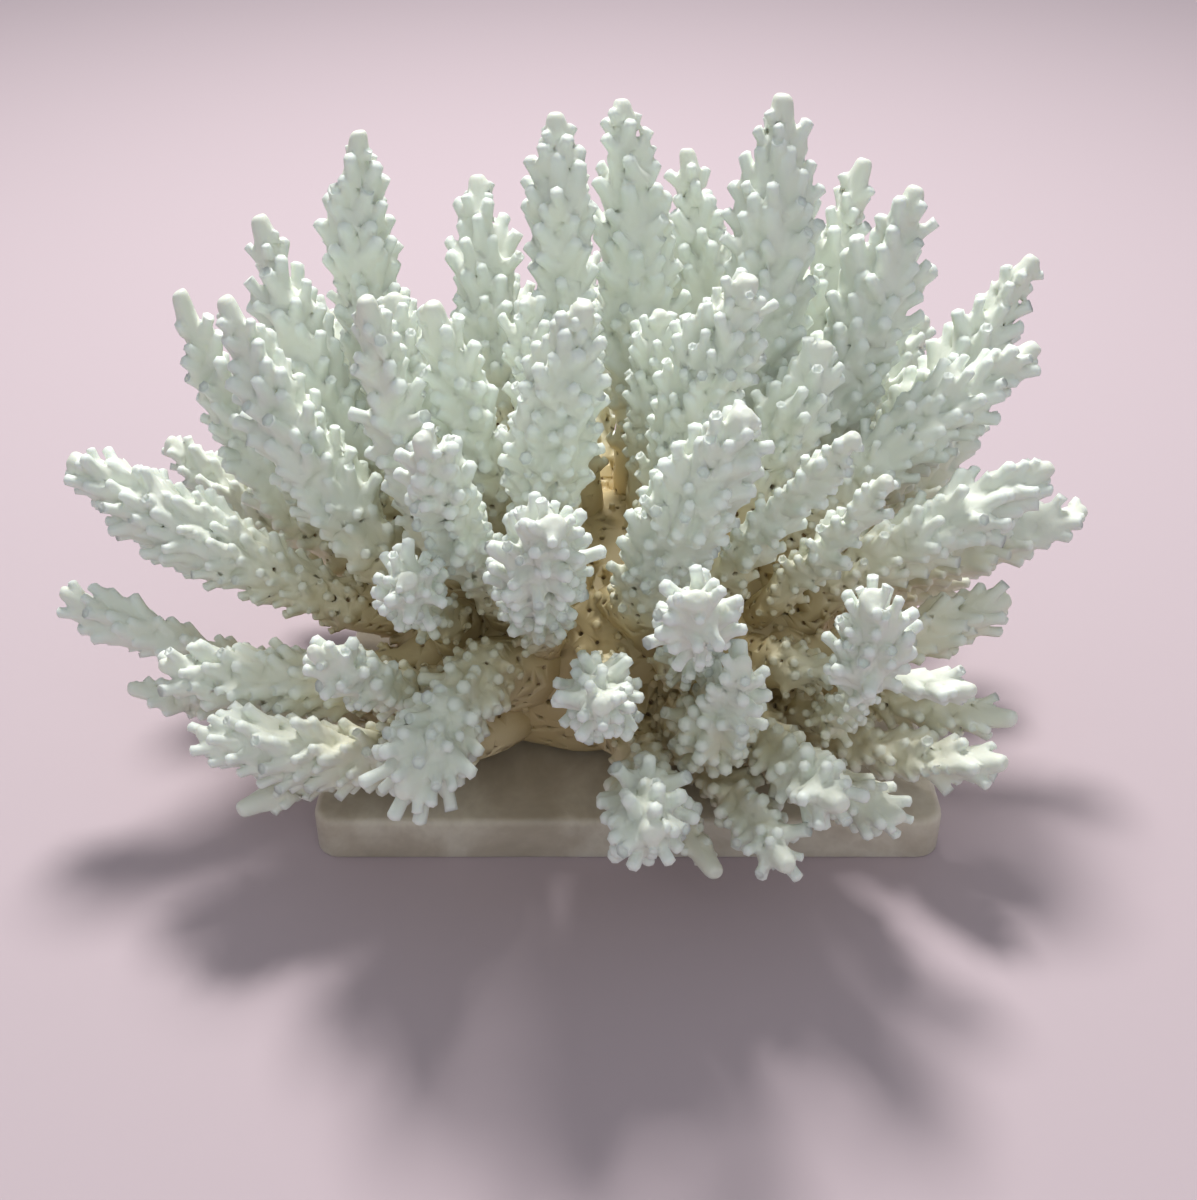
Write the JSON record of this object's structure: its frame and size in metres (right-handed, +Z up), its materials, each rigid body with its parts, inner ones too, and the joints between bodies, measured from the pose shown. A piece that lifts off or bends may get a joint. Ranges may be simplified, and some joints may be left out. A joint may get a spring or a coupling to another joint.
{
  "type": "coral specimen",
  "caption": "White branching stony coral whose tapered fingers are covered in small tubes, fixed on a rectangular polished stone slab that stands on a table or shelf.",
  "frame": {"origin": "middle of the underside of the stone slab", "axes": "+Z up out of the slab, +X along the long side of the slab, -Y towards the front that the picture shows"},
  "size_m": [0.1476, 0.1222, 0.0967],
  "materials": {
    "coral": "porous, white at the tips and cream towards the trunk, slightly translucent",
    "base_stone": "polished pale stone with faint clouds, satin"
  },
  "bodies": {
    "root": {"stone_base": "base_stone", "trunk": "coral", "back_branch_01": "coral", "back_branch_02": "coral", "back_branch_03": "coral", "back_branch_04": "coral", "back_branch_05": "coral", "back_branch_06": "coral", "back_branch_07": "coral", "back_branch_08": "coral", "back_branch_09": "coral", "back_branch_10": "coral", "back_branch_11": "coral", "crown_branch_01": "coral", "crown_branch_02": "coral", "crown_branch_03": "coral", "crown_branch_04": "coral", "crown_branch_05": "coral", "crown_branch_06": "coral", "crown_branch_07": "coral", "crown_branch_08": "coral", "crown_branch_09": "coral", "crown_branch_10": "coral", "crown_branch_11": "coral", "crown_branch_12": "coral", "crown_branch_13": "coral", "crown_branch_14": "coral", "front_branch_01": "coral", "front_branch_02": "coral", "front_branch_03": "coral", "front_branch_04": "coral", "front_branch_05": "coral", "front_branch_06": "coral", "front_branch_07": "coral", "front_branch_08": "coral", "front_branch_09": "coral", "front_branch_10": "coral", "front_branch_11": "coral", "left_branch_01": "coral", "left_branch_02": "coral", "left_branch_03": "coral", "left_branch_04": "coral", "left_branch_05": "coral", "left_branch_06": "coral", "left_branch_07": "coral", "middle_branch_01": "coral", "middle_branch_02": "coral", "middle_branch_03": "coral", "middle_branch_04": "coral", "middle_branch_05": "coral", "middle_branch_06": "coral", "right_branch_01": "coral", "right_branch_02": "coral", "right_branch_03": "coral", "right_branch_04": "coral", "right_branch_05": "coral", "right_branch_06": "coral", "right_branch_07": "coral", "right_branch_08": "coral"}
  },
  "joints": []
}
